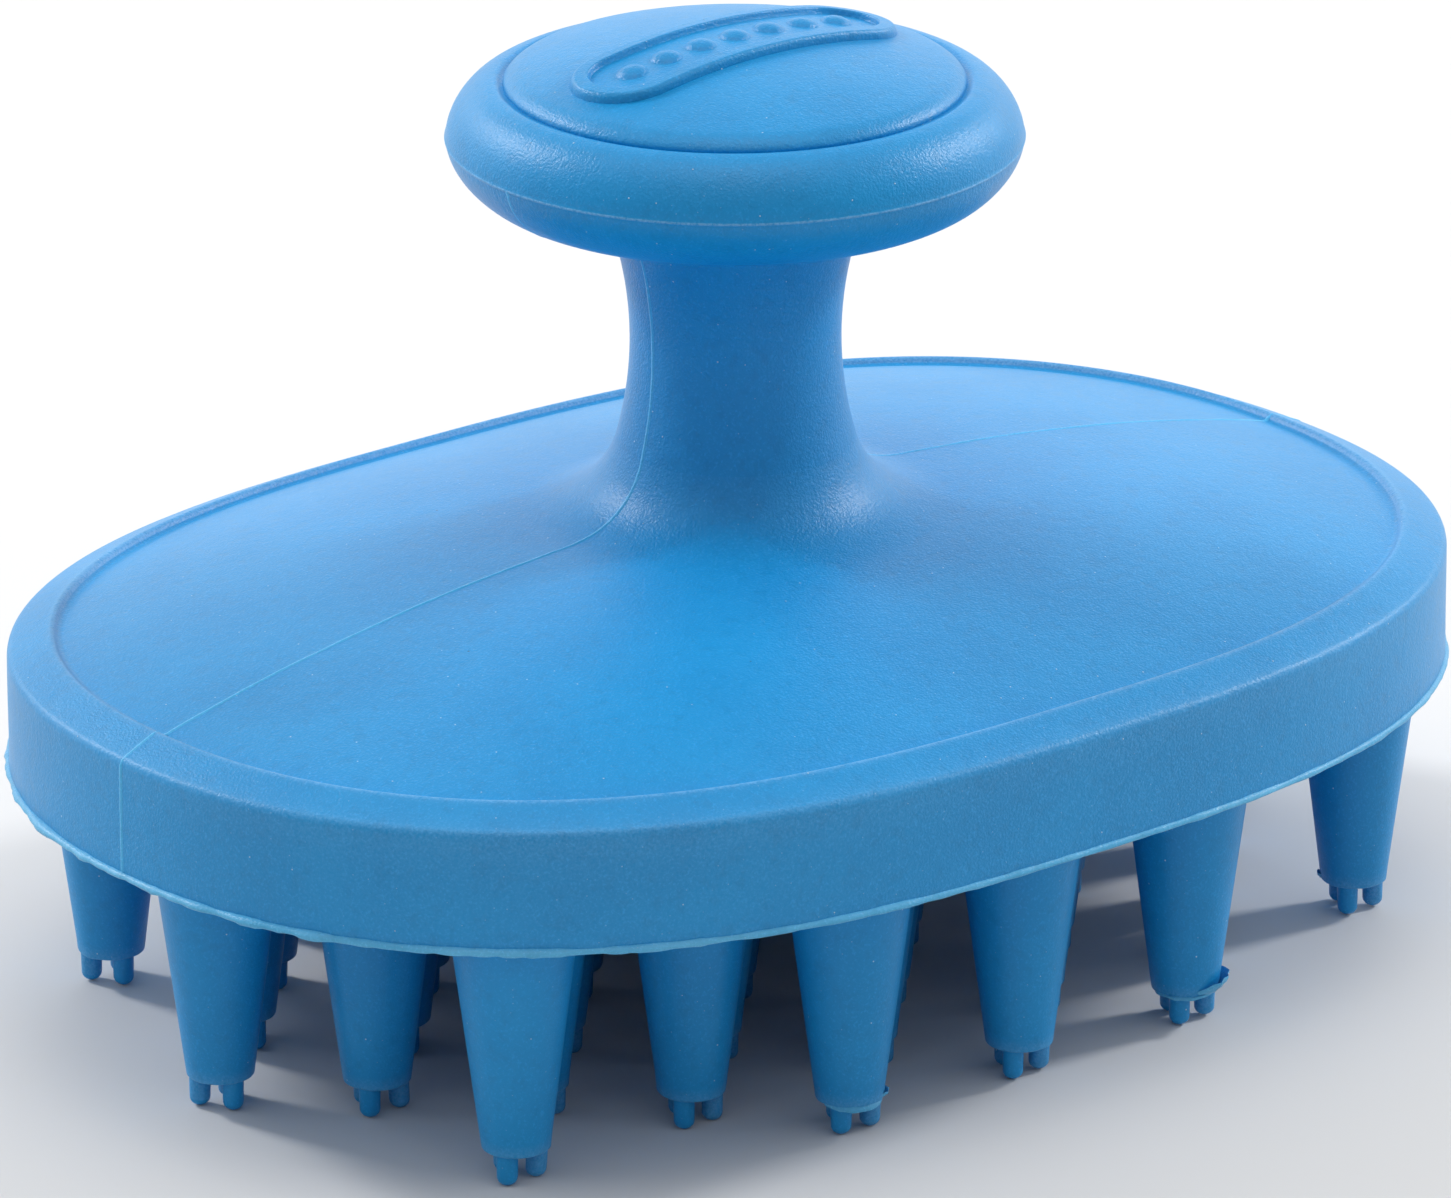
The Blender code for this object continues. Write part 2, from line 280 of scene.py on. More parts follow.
# Silicone: its colours
DEEP = (0.0020, 0.250, 0.580, 1.0)
PALE = (0.0030, 0.275, 0.625, 1.0)
SEAM_DEEP = (0.05, 0.40, 0.74, 1.0)
SEAM_PALE = (0.07, 0.44, 0.80, 1.0)
FLASH_DEEP = (0.06, 0.37, 0.66, 1.0)
FLASH_PALE = (0.11, 0.45, 0.74, 1.0)
# Pale colour of dust specks and worn edges, also used for the painted highlight on the rim's inner ridge
DUST_AND_HIGHLIGHT = (0.62, 0.78, 0.90, 1.0)
SOOT = (0.004, 0.030, 0.090, 1.0)

# Silicone: the size, detail and roughness of its patterns, and the range of each that shows
CLOUD = (0.011, 3.0, 0.5)
GRAIN = (0.00022, 2.0, 0.6)
MOTTLE = (0.0012, 3.0, 0.6)
CLOUD_RANGE = (0.3, 0.7)
GRAIN_RANGE = (0.50, 0.75)
MOTTLE_RANGE = (0.50, 0.30)
WEAR_AND_HIGHLIGHT_RANGE = (0.20, 0.60)

# Silicone: how strongly its patterns show
MOTTLE_SHADE = 0.22
MOTTLE_DARKNESS = 0.72
GRAIN_SHADE = 0.5
GRAIN_BRIGHTNESS = 1.25
GRAIN_HAZE = 0.02
GRAIN_DEPTH = 0.00006
BRISTLE_GRAIN_DEPTH = 0.00003
MOTTLE_RELIEF = 0.8
SPECK_RELIEF = 0.8
SPECK_CORE = 0.35
# How strongly the pale mix shows on worn edges and on the painted ridge highlight
WEAR_AND_HIGHLIGHT_MIX = 0.20

# Silicone: its gloss
BODY_ROUGHNESS = 0.44
KNOB_ROUGHNESS = 0.41
BRISTLE_ROUGHNESS = 0.50
SEAM_ROUGHNESS = 0.42
MOTTLE_ROUGHNESS = 0.16
WEAR_AND_HIGHLIGHT_ROUGHNESS = 0.15
SPECULAR_LEVEL = 0.28
COAT_WEIGHT = 0.22
COAT_ROUGHNESS = 0.28

# Specks, the raised ones first: cell size, dot radius, share of the cells, strength and colour
SPECK_LAYERS = (
    (0.0013, 0.00009, 0.45, 0.65, DUST_AND_HIGHLIGHT),
    (0.0006, 0.00007, 0.35, 0.22, DUST_AND_HIGHLIGHT),
    (0.0031, 0.00013, 0.16, 0.70, SOOT),
)

# Camera
CAMERA_TARGET = Vector((0.0, 0.0, 0.0287))
CAMERA_AZIMUTH = math.radians(-39.336)
CAMERA_ELEVATION = math.radians(20.318)
CAMERA_ROLL = math.radians(-0.162)
CAMERA_DISTANCE = 0.859122
CAMERA_SENSOR = 36.0
CAMERA_LENS = 271.5
CAMERA_SHIFT = (-0.00746, 0.00299)
CAMERA_CLIP = (0.05, 20.0)

# Floor, and light from the world by direction: strengths, then where each fades
FLOOR_HALF = 6.0
FLOOR_GREY = 0.70
FLOOR_ROUGHNESS = 0.9
WORLD_BACKDROP = 1.25
WORLD_HORIZON = 0.08
WORLD_ZENITH = 0.64
BACKDROP_FADE = 0.35
BACKDROP_LOW = 0.25
BACKDROP_HIGH = 0.62
OVERHEAD_LOW = -0.1
OVERHEAD_HIGH = 0.7

# Lamps: name, place to the camera's right, away from it and up, side in metres, and power in watts
LAMPS = (
    ("top", (0.0, -0.10, 1.0), 0.60, 2.2),
    ("left", (-0.69, 0.40, 0.60), 0.15, 4.2),
    ("right", (0.75, 0.37, 0.55), 0.13, 4.2),
)
LAMP_AIM = Vector((0.0, 0.0, 0.04))


# ---------------------------------------------------------------- frame

base_lo, base_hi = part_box("oval_base")
stem_lo, stem_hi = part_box("handle_stem")
knob_lo, knob_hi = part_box("handle_knob")
disc_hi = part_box("knob_top_disc")[1]
pad_lo, pad_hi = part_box("badge_pad")

HALF_LENGTH = base_hi.x
HALF_WIDTH = base_hi.y
UNDERSIDE = base_lo.z
RIM_TOP = UNDERSIDE + RIM_HEIGHT
FIELD_EDGE = RIM_TOP + RIM_RISE - FIELD_STEP
CROWN = FIELD_EDGE + CROWN_RISE
FOOT_TOP = base_hi.z
WAIST = FOOT_TOP + FOOT_TO_WAIST
WAIST_RADIUS = stem_hi.x - STEM_FLARE * max(stem_hi.z - WAIST, WAIST - stem_lo.z) ** 2
KNOB_BOTTOM = knob_lo.z
KNOB_WIDEST = KNOB_BOTTOM + KNOB_LOWER_HEIGHT
KNOB_RADIUS = knob_hi.x
KNOB_TOP = knob_hi.z
DISC_RADIUS = disc_hi.x
DISC_TOP = disc_hi.z


# ---------------------------------------------------------------- helpers

def wobble(x, y, z):
    """Smooth noise from -1 to 1, the same each run."""
    return noise.noise(Vector((x, y, z)))


def smooth(share):
    """A share held between 0 and 1 and eased at both ends."""
    share = min(1.0, max(0.0, share))
    return share * share * (3.0 - 2.0 * share)


def signed_power(values, power):
    return np.sign(values) * np.abs(values) ** power


def link(mesh, name):
    obj = bpy.data.objects.new(name, mesh)
    bpy.context.scene.collection.objects.link(obj)
    return obj


def shade(mesh, sharp):
    """Smooth shading, with edges sharper than an angle in degrees kept sharp."""
    mesh.shade_smooth()
    mesh.set_sharp_from_angle(angle=math.radians(sharp))


def face_outwards(mesh):
    bm = bmesh.new()
    bm.from_mesh(mesh)
    bmesh.ops.recalc_face_normals(bm, faces=bm.faces)
    bm.to_mesh(mesh)
    bm.free()


def skin(name, rings, wear_and_highlight=None, capped=True):
    """A skin through rings of points, each an (N, 3) array, from the bottom to the top.

    wear_and_highlight says how pale each ring is painted, as one number or one for each point: worn places,
    and the painted highlight on the rim's inner ridge.
    """
    rings = [np.asarray(ring, float) for ring in rings]
    count = len(rings[0])
    points = np.concatenate(rings)
    faces = []
    for k in range(len(rings) - 1):
        low = k * count
        high = low + count
        for i in range(count):
            j = (i + 1) % count
            faces.append((low + i, low + j, high + j, high + i))
    if capped:
        hub = len(points)
        last = hub - count
        faces += [((i + 1) % count, i, hub) for i in range(count)]
        faces += [(last + i, last + (i + 1) % count, hub + 1) for i in range(count)]
        points = np.concatenate([points, [rings[0].mean(axis=0), rings[-1].mean(axis=0)]])
    mesh = bpy.data.meshes.new(name)
    mesh.from_pydata(points.tolist(), [], faces)
    values = np.zeros(len(points), np.float32)
    if wear_and_highlight is not None:
        values[: len(rings) * count] = np.concatenate([np.broadcast_to(w, count) for w in wear_and_highlight])
    # Per-point paleness: worn places, and the painted highlight on the rim's inner ridge
    layer = mesh.attributes.new("wear_and_highlight", "FLOAT", "POINT")
    layer.data.foreach_set("value", values)
    shade(mesh, SKIN_SHARP)
    return mesh


def weld(mesh):
    """Join points that fell on each other where a ring closes to a line."""
    bm = bmesh.new()
    bm.from_mesh(mesh)
    bmesh.ops.remove_doubles(bm, verts=bm.verts, dist=WELD_DISTANCE)
    bmesh.ops.dissolve_degenerate(bm, dist=WELD_DISTANCE, edges=bm.edges)
    bm.to_mesh(mesh)
    bm.free()
    shade(mesh, SKIN_SHARP)


def finish_piece(obj, material, nodes=(), body=BODY):
    """Give a piece its material, the CAD nodes it stands for and its body."""
    obj.data.materials.clear()
    obj.data.materials.append(material)
    if nodes:
        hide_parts(*nodes)
    if body:
        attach(obj, body)


# ---------------------------------------------------------------- materials

def node(tree, kind, **values):
    made = tree.nodes.new(kind)
    for key, value in values.items():
        setattr(made, key, value)
    return made


def put(tree, source, target):
    tree.links.new(source, target)


def math_node(tree, operation, first, second, third=None):
    """A Math node's result, from numbers and other nodes' results."""
    made = node(tree, "ShaderNodeMath", operation=operation)
    for index, value in enumerate((first, second, third)):
        if value is None:
            continue
        if isinstance(value, (int, float)):
            made.inputs[index].default_value = value
        else:
            put(tree, value, made.inputs[index])
    return made.outputs[0]


def noise_value(tree, place, size, detail, roughness):
    made = node(tree, "ShaderNodeTexNoise")
    made.inputs["Scale"].default_value = 1.0 / size
    made.inputs["Detail"].default_value = detail
    made.inputs["Roughness"].default_value = roughness
    put(tree, place, made.inputs["Vector"])
    return made.outputs["Fac"]


def step_value(tree, value, low, high):
    """0 at low and 1 at high, eased between; low may be the larger."""
    made = node(tree, "ShaderNodeMapRange", interpolation_type="SMOOTHSTEP")
    made.inputs["From Min"].default_value = low
    made.inputs["From Max"].default_value = high
    put(tree, value, made.inputs["Value"])
    return made.outputs["Result"]


def mix_colour(tree, factor, first, second):
    """Two colours mixed. The Mix node's colour sockets come after those for numbers and vectors."""
    made = node(tree, "ShaderNodeMix", data_type="RGBA")
    put(tree, factor, made.inputs["Factor"])
    for socket, value in ((made.inputs[6], first), (made.inputs[7], second)):
        if isinstance(value, tuple):
            socket.default_value = value
        else:
            put(tree, value, socket)
    return made.outputs[2]


def specks(tree, place, cell, radius, share):
    """Round dots of the radius in a share of cells."""
    cells = node(tree, "ShaderNodeTexVoronoi")
    cells.inputs["Scale"].default_value = 1.0 / cell
    put(tree, place, cells.inputs["Vector"])
    near = step_value(tree, cells.outputs["Distance"], radius / cell, SPECK_CORE * radius / cell)
    split = node(tree, "ShaderNodeSeparateColor")
    put(tree, cells.outputs["Color"], split.inputs["Color"])
    chosen = math_node(tree, "LESS_THAN", split.outputs["Red"], share)
    return math_node(tree, "MULTIPLY", near, chosen)


def silicone(name, deep, pale, roughness, grain=GRAIN_DEPTH):
    """Matt moulded silicone: cloudy colour, fine grain, dust specks, worn pale edges and a painted highlight
    on the rim's inner ridge.
    """
    material = bpy.data.materials.new(name)
    material.use_nodes = True
    tree = material.node_tree
    shader = tree.nodes["Principled BSDF"]
    place = node(tree, "ShaderNodeTexCoord").outputs["Object"]

    cloud = noise_value(tree, place, *CLOUD)
    fine = noise_value(tree, place, *GRAIN)
    mottle = noise_value(tree, place, *MOTTLE)
    colour = mix_colour(tree, step_value(tree, cloud, *CLOUD_RANGE), deep, pale)
    grainy = math_node(tree, "MULTIPLY", step_value(tree, fine, *GRAIN_RANGE), GRAIN_SHADE)
    bright_grain = tuple(min(1.0, c * GRAIN_BRIGHTNESS + GRAIN_HAZE) for c in pale[:3]) + (1.0,)
    colour = mix_colour(tree, grainy, colour, bright_grain)
    mottled = math_node(tree, "MULTIPLY", step_value(tree, mottle, *MOTTLE_RANGE), MOTTLE_SHADE)
    dark_mottle = tuple(c * MOTTLE_DARKNESS for c in deep[:3]) + (1.0,)
    colour = mix_colour(tree, mottled, colour, dark_mottle)

    wear_and_highlight = node(tree, "ShaderNodeAttribute", attribute_name="wear_and_highlight").outputs["Fac"]
    # Pale mix over the per-point attribute: worn edges, and the painted highlight on the rim's inner ridge
    worn_and_highlit = math_node(tree, "MULTIPLY", wear_and_highlight, step_value(tree, fine, *WEAR_AND_HIGHLIGHT_RANGE))
    colour = mix_colour(tree, math_node(tree, "MULTIPLY", worn_and_highlit, WEAR_AND_HIGHLIGHT_MIX), colour, DUST_AND_HIGHLIGHT)
    layers = []
    for cell, radius, share, strength, paint in SPECK_LAYERS:
        layers.append(specks(tree, place, cell, radius, share))
        colour = mix_colour(tree, math_node(tree, "MULTIPLY", layers[-1], strength), colour, paint)
    put(tree, colour, shader.inputs["Base Color"])

    spread = math_node(tree, "MULTIPLY_ADD", mottle, MOTTLE_ROUGHNESS, roughness - MOTTLE_ROUGHNESS / 2.0)
    spread = math_node(tree, "MULTIPLY_ADD", worn_and_highlit, WEAR_AND_HIGHLIGHT_ROUGHNESS, spread)
    put(tree, spread, shader.inputs["Roughness"])
    shader.inputs["Specular IOR Level"].default_value = SPECULAR_LEVEL
    shader.inputs["Coat Weight"].default_value = COAT_WEIGHT
    shader.inputs["Coat Roughness"].default_value = COAT_ROUGHNESS

    relief = math_node(tree, "MULTIPLY_ADD", mottle, MOTTLE_RELIEF, fine)
    relief = math_node(tree, "MULTIPLY_ADD", layers[0], SPECK_RELIEF, relief)
    bump = node(tree, "ShaderNodeBump")
    bump.inputs["Strength"].default_value = 1.0
    bump.inputs["Distance"].default_value = grain
    put(tree, relief, bump.inputs["Height"])
    put(tree, bump.outputs["Normal"], shader.inputs["Normal"])
    put(tree, bump.outputs["Normal"], shader.inputs["Coat Normal"])
    return material


# ---------------------------------------------------------------- base

def outline_frame():
    """Evenly spaced points on the oval in plan, from +X round to +X, with their outward normals."""
    turn = np.linspace(0.0, 2.0 * np.pi, OUTLINE_SAMPLES)
    u = signed_power(np.cos(turn), 2.0 / OUTLINE_POWER_X)
    v = signed_power(np.sin(turn), 2.0 / OUTLINE_POWER_Y)
    along = np.concatenate([[0.0], np.cumsum(np.hypot(np.diff(HALF_LENGTH * u), np.diff(HALF_WIDTH * v)))])
    wanted = np.linspace(0.0, along[-1], OUTLINE_POINTS, endpoint=False)
    turn = np.interp(wanted, along, turn)
    u = signed_power(np.cos(turn), 2.0 / OUTLINE_POWER_X)
    v = signed_power(np.sin(turn), 2.0 / OUTLINE_POWER_Y)
    normal = np.stack([OUTLINE_POWER_X / HALF_LENGTH * signed_power(u, OUTLINE_POWER_X - 1.0),
                       OUTLINE_POWER_Y / HALF_WIDTH * signed_power(v, OUTLINE_POWER_Y - 1.0)], axis=1)
    normal /= np.linalg.norm(normal, axis=1, keepdims=True)
    return np.stack([HALF_LENGTH * u, HALF_WIDTH * v], axis=1), normal


def ring_at(plan, normal, inset, z):
    """The outline moved inwards by an inset, one for all points or one for each, at a height."""
    flat = plan - np.broadcast_to(inset, len(plan))[:, None] * normal
    return np.column_stack([flat, np.full(len(flat), z)])


def arc(centre, radius, start, end, steps):
    """(inset, z) points on an arc, with angles in degrees from the outward direction up."""
    turns = [math.radians(start + (end - start) * k / steps) for k in range(steps + 1)]
    return [(centre[0] - radius * math.cos(t), centre[1] + radius * math.sin(t)) for t in turns]


def rim_profile():
    """(inset, z, paleness) from the underside, up the wall, over the rim and down its inner edge; the
    paleness is worn, and a painted highlight along the inner ridge.
    """
    bottom = arc((BOTTOM_RADIUS, UNDERSIDE + BOTTOM_RADIUS), BOTTOM_RADIUS, -90, 0, BOTTOM_ARC_STEPS)
    profile = [(inset, z, BOTTOM_WEAR) for inset, z in bottom]
    low = UNDERSIDE + BOTTOM_RADIUS
    high = RIM_TOP - RIM_OUTER_RADIUS
    for k in range(1, WALL_STEPS):
        share = k / WALL_STEPS
        wear_and_highlight = WALL_WEAR + WALL_TOP_WEAR * share ** WALL_WEAR_POWER
        profile.append((WALL_LEAN * share, low + (high - low) * share, wear_and_highlight))
    slope = math.degrees(math.atan2(RIM_RISE, RIM_WIDTH - RIM_OUTER_RADIUS))
    outer = arc((RIM_OUTER_RADIUS + WALL_LEAN, high), RIM_OUTER_RADIUS, 0, 90 - slope, OUTER_ARC_STEPS)
    for k, (inset, z) in enumerate(outer):
        wear_and_highlight = OUTER_WEAR - OUTER_WEAR_FADE * abs(k / OUTER_ARC_STEPS - OUTER_WEAR_PEAK)
        profile.append((inset, z, wear_and_highlight))
    start_inset, start_z = outer[-1]
    inner_centre = RIM_WIDTH - CREASE_WIDTH - RIM_INNER_RADIUS
    ridge = RIM_TOP + RIM_RISE
    for k in range(1, RIM_STEPS):
        share = k / RIM_STEPS
        inset = start_inset + (inner_centre - start_inset) * share
        # Near the outer edge the paleness is a worn rim; towards the inner ridge it is a painted highlight
        wear_and_highlight = RIM_WEAR * (1.0 - share) ** 2 + RIDGE_PAINTED_HIGHLIGHT * share ** RIDGE_HIGHLIGHT_POWER
        profile.append((inset, start_z + (ridge - start_z) * share, wear_and_highlight))
    centre = (inner_centre, ridge - RIM_INNER_RADIUS)
    inner = arc(centre, RIM_INNER_RADIUS, 90, RIM_INNER_END, INNER_ARC_STEPS)
    # The ridge's rounded inner edge is painted fully pale: a painted highlight
    profile += [(inset, z, 1.0) for inset, z in inner]
    return profile


def crown_height(radius, edge_radius):
    return CROWN - CROWN_RISE * (radius / edge_radius) ** CROWN_POWER


def crown_slope(radius, edge_radius):
    return -CROWN_RISE * CROWN_POWER / edge_radius * (radius / edge_radius) ** (CROWN_POWER - 1.0)


def stem_radius(z):
    return WAIST_RADIUS + STEM_FLARE * (z - WAIST) ** 2


def wall_rings(plan, normal, profile):
    """Slightly uneven rings over the wall and the rim, with patchy worn paleness and a patchy painted
    highlight on the rim's inner ridge.
    """
    spots = np.array([wobble(x * WEAR_AND_HIGHLIGHT_PATCHES, y * WEAR_AND_HIGHLIGHT_PATCHES, 3.0) for x, y in plan])
    # Patches vary the worn paleness and the painted ridge highlight alike
    patches = WEAR_AND_HIGHLIGHT_MEAN + WEAR_AND_HIGHLIGHT_VARIES * spots
    rings = []
    wear_and_highlight = []
    for inset, z, rub_and_highlight in profile:
        uneven = np.array([wobble(x * WALL_WAVES, y * WALL_WAVES, z * WALL_WAVES_UP) for x, y in plan])
        strength = WALL_UNEVENNESS * smooth((z - UNDERSIDE) / WALL_EVEN_HEIGHT)
        rings.append(ring_at(plan, normal, inset - uneven * strength, z))
        wear_and_highlight.append(np.clip(rub_and_highlight * patches, 0.0, 1.0))
    return rings, wear_and_highlight


def crease_rings(plan, normal, start_inset, start_z):
    """Down from the rim's inner edge to the crease round the field."""
    rings = []
    for k in range(1, CREASE_STEPS + 1):
        share = k / CREASE_STEPS
        inset = start_inset + (RIM_WIDTH - start_inset) * share
        z = start_z + (FIELD_EDGE - CREASE_SINK - start_z) * (1.0 - (1.0 - share) ** 2)
        rings.append(ring_at(plan, normal, inset, z))
    return rings


def crown_rings(border, border_radius):
    """In from the crease over the domed field to the foot's circle, closer together near the crease."""
    rings = []
    for k in range(1, CROWN_STEPS + 1):
        share = (k / CROWN_STEPS) ** CROWN_CROWDING
        scale = 1.0 - share + share * FOOT_RADIUS / border_radius
        flat = border * scale[:, None]
        radius = np.hypot(flat[:, 0], flat[:, 1])
        sink = CREASE_SINK * np.exp(-(border_radius - radius) / CREASE_SPREAD)
        rings.append(np.column_stack([flat, crown_height(radius, border_radius) - sink]))
    return rings


def foot_rings(start, border_radius):
    """From the field up the foot to the stem, on a quadratic curve that starts along the field's slope."""
    direction = start[:, :2] / np.linalg.norm(start[:, :2], axis=1, keepdims=True)
    slope = crown_slope(FOOT_RADIUS, border_radius)
    top_radius = stem_radius(FOOT_TOP)
    bend = top_radius + 2.0 * STEM_FLARE * FOOT_TO_WAIST * (FOOT_TOP - start[:, 2])
    bend_z = start[:, 2] - slope * (FOOT_RADIUS - bend)
    rings = []
    for k in range(1, FOOT_STEPS + 1):
        s = k / FOOT_STEPS
        radius = (1 - s) ** 2 * FOOT_RADIUS + 2 * s * (1 - s) * bend + s ** 2 * top_radius
        z = (1 - s) ** 2 * start[:, 2] + 2 * s * (1 - s) * bend_z + s ** 2 * FOOT_TOP
        rings.append(np.column_stack([direction * radius[:, None], z]))
    return rings


def base_rings():
    """Rings, worn paleness at the edges and the painted highlight on the rim's inner ridge, for the whole
    base, from the middle of the underside to the top of the foot.
    """
    plan, normal = outline_frame()
    flat_edge = plan - BOTTOM_RADIUS * normal
    border = plan - RIM_WIDTH * normal
    border_radius = np.hypot(border[:, 0], border[:, 1])
    profile = rim_profile()
    level = np.full(len(plan), UNDERSIDE)
    under = [np.column_stack([flat_edge * share, level]) for share in UNDERSIDE_SHARES]
    wall, wall_wear_and_highlight = wall_rings(plan, normal, profile)
    crease = crease_rings(plan, normal, profile[-1][0], profile[-1][1])
    crown = crown_rings(border, border_radius)
    foot = foot_rings(crown[-1], border_radius)
    wear_and_highlight = [0.0] * len(under) + wall_wear_and_highlight + [0.0] * len(crease)
    wear_and_highlight += [CROWN_WEAR] * len(crown) + [FOOT_WEAR] * len(foot)
    return under + wall + crease + crown + foot, wear_and_highlight


# ---------------------------------------------------------------- handle

def profile_rings(profile):
    """Circles round the Z axis from (radius, z) points."""
    turn = np.linspace(0.0, 2.0 * np.pi, ROUND_POINTS, endpoint=False)
    level = np.ones(ROUND_POINTS)
    return [np.column_stack([r * np.cos(turn), r * np.sin(turn), z * level]) for r, z in profile]


def stem_profile():
    """(radius, z) from inside the foot up to inside the knob, flush with both."""
    end = KNOB_BOTTOM
    profile = [(stem_radius(FOOT_TOP) - TUCK_LONG, FOOT_TOP - TUCK_SHORT)]
    for k in range(STEM_STEPS + 1):
        z = FOOT_TOP + (end - FOOT_TOP) * k / STEM_STEPS
        flare = KNOB_NECK_RADIUS * max(0.0, 1.0 - (end - z) / KNOB_NECK_RADIUS) ** 3
        profile.append((stem_radius(z) + flare, z))
    profile.append((stem_radius(end) - TUCK_SHORT, end + TUCK_LONG))
    return profile


def quarter(start, end, power, steps):
    """(radius, z) points of a superelliptic quarter from the widest point to an end."""
    points = []
    for k in range(steps + 1):
        turn = math.pi / 2.0 * k / steps
        across = math.cos(turn) ** (2.0 / power)
        along = math.sin(turn) ** (2.0 / power)
        points.append((end[0] + (start[0] - end[0]) * across, start[1] + (end[1] - start[1]) * along))
    return points


def knob_profile():
    """(radius, z) from inside the neck, under and round the knob and down into the crease round the disc."""
    widest = (KNOB_RADIUS, KNOB_WIDEST)
    ledge = (DISC_RADIUS + SHOULDER_LEDGE, KNOB_TOP)
    lower = quarter(widest, (KNOB_UNDERSIDE_RADIUS, KNOB_BOTTOM), KNOB_LOWER_POWER, KNOB_LOWER_STEPS)
    upper = quarter(widest, ledge, KNOB_UPPER_POWER, KNOB_UPPER_STEPS)
    profile = [(stem_radius(KNOB_BOTTOM) * KNOB_HUB_SHARE, KNOB_BOTTOM),
               (KNOB_UNDERSIDE_RADIUS * KNOB_FLAT_SHARE, KNOB_BOTTOM)]
    profile += list(reversed(lower[1:]))
    for rise in (-1.0, -0.5, 0.0, 0.5, 1.0):
        radius = KNOB_RADIUS + KNOB_BEAD_HEIGHT * (1.0 - rise * rise)
        profile.append((radius, KNOB_WIDEST + KNOB_BEAD_WIDTH / 2.0 * rise))
    profile += upper[2:]    # the bead stands in for the first two points
    for k in range(1, SHOULDER_STEPS + 1):
        share = k / SHOULDER_STEPS
        profile.append((ledge[0] - SHOULDER_LEDGE * share, KNOB_TOP - DISC_CREASE_DEPTH * smooth(share)))
    profile.append((DISC_RADIUS - SHOULDER_TUCK, KNOB_TOP - 2.0 * DISC_CREASE_DEPTH))
    return profile


def disc_height(radius):
    """Height of the disc's domed top, without its rounded edge."""
    edge = KNOB_TOP + DISC_RISE
    return edge + (DISC_TOP - edge) * (1.0 - (radius / DISC_RADIUS) ** 2)


def disc_profile():
    """(radius, z) from inside the knob, round the disc's edge and in over its domed top."""
    skirt = (DISC_SKIRT_BOTTOM, DISC_SKIRT_TOP)
    profile = [(DISC_RADIUS - inset, KNOB_TOP - depth) for inset, depth in skirt]
    for k in range(DISC_EDGE_STEPS + 1):
        turn = math.pi / 2.0 * k / DISC_EDGE_STEPS
        radius = DISC_RADIUS - DISC_EDGE_RADIUS * (1.0 - math.cos(turn))
        rise = disc_height(radius) - KNOB_TOP + DISC_SINK
        profile.append((radius, KNOB_TOP - DISC_SINK + rise * math.sin(turn)))
    for k in range(1, DISC_TOP_STEPS):
        radius = (DISC_RADIUS - DISC_EDGE_RADIUS) * (1.0 - k / DISC_TOP_STEPS)
        profile.append((radius, disc_height(radius)))
    return profile


def pad_relief(distance, x, y):
    """Height over the disc at a point of the pad, which lies the distance inside the pad's edge."""
    rise = PAD_RISE
    if distance < PAD_EDGE_RADIUS:
        rise *= math.sqrt(max(0.0, 1.0 - (1.0 - distance / PAD_EDGE_RADIUS) ** 2))
    rise -= PAD_TRAY_DEPTH * smooth((distance - PAD_BORDER) / PAD_SLOPE)
    nearest = min(abs(x - (k - (PIP_COUNT - 1) / 2.0) * PIP_SPACING) for k in range(PIP_COUNT))
    pip = math.hypot(nearest, y)
    return rise + PIP_RISE * max(0.0, 1.0 - (pip / PIP_RADIUS) ** 2) ** PIP_POWER


def pad_frame(straight):
    """Places on the pad's middle line and outward directions, point by point round a capsule."""
    hubs = []
    normals = []
    for sign in (1.0, -1.0):
        for k in range(PAD_END_POINTS):
            turn = -math.pi / 2.0 + math.pi * k / PAD_END_POINTS
            hubs.append(sign * straight)
            normals.append((sign * math.cos(turn), sign * math.sin(turn)))
        for k in range(PAD_SIDE_POINTS):
            hubs.append(sign * straight * (1.0 - 2.0 * k / PAD_SIDE_POINTS))
            normals.append((0.0, sign))
    return np.array(hubs), np.array(normals)


def pad_rings():
    """Concentric capsules, from under the pad, round its edge and in to its middle line."""
    half_width = (pad_hi.y - pad_lo.y) / 2.0
    hubs, normals = pad_frame((pad_hi.x - pad_lo.x) / 2.0 - half_width)

    def ring(inset, depth=None):
        reach = half_width - inset
        x = hubs + reach * normals[:, 0]
        y = reach * normals[:, 1]
        z = []
        for px, py in zip(x, y):
            lift = pad_relief(inset, px, py) if depth is None else -depth
            z.append(disc_height(math.hypot(px, py)) + lift)
        return np.column_stack([x, y, z])

    rings = [ring(half_width, PAD_DEPTH), ring(0.0, PAD_DEPTH), ring(0.0, PAD_EDGE_DEPTH)]
    for k in range(PAD_STEPS + 1):
        share = k / PAD_STEPS
        rings.append(ring(half_width * (PAD_CROWDING * share ** 2 + (1.0 - PAD_CROWDING) * share)))
    return rings


# ---------------------------------------------------------------- parting lines and flash

def ribbon(name, path, out, side, width, height):
    """A low rounded bead along a path, with unit vectors, a width and a height for each point."""
    section = []
    for across in np.linspace(-1.0, 1.0, SEAM_POINTS_ACROSS):
        rise = math.cos(across * math.pi / 2.0) ** SEAM_POWER if abs(across) < 1.0 else 0.0
        section.append((across, rise))
    rings = []
    for i in range(len(path)):
        ring = []
        for across, rise in section:
            ring.append(path[i] + side[i] * across * width[i] / 2.0 + out[i] * (rise * height[i] - SEAM_SINK))
        ring.append(path[i] + side[i] * SEAM_ROOT_WIDTH * width[i] - out[i] * SEAM_DEPTH)
        ring.append(path[i] - side[i] * SEAM_ROOT_WIDTH * width[i] - out[i] * SEAM_DEPTH)
        rings.append(np.array(ring))
    mesh = skin(name, rings)
    face_outwards(mesh)
    shade(mesh, SEAM_SHARP)
    return link(mesh, name)


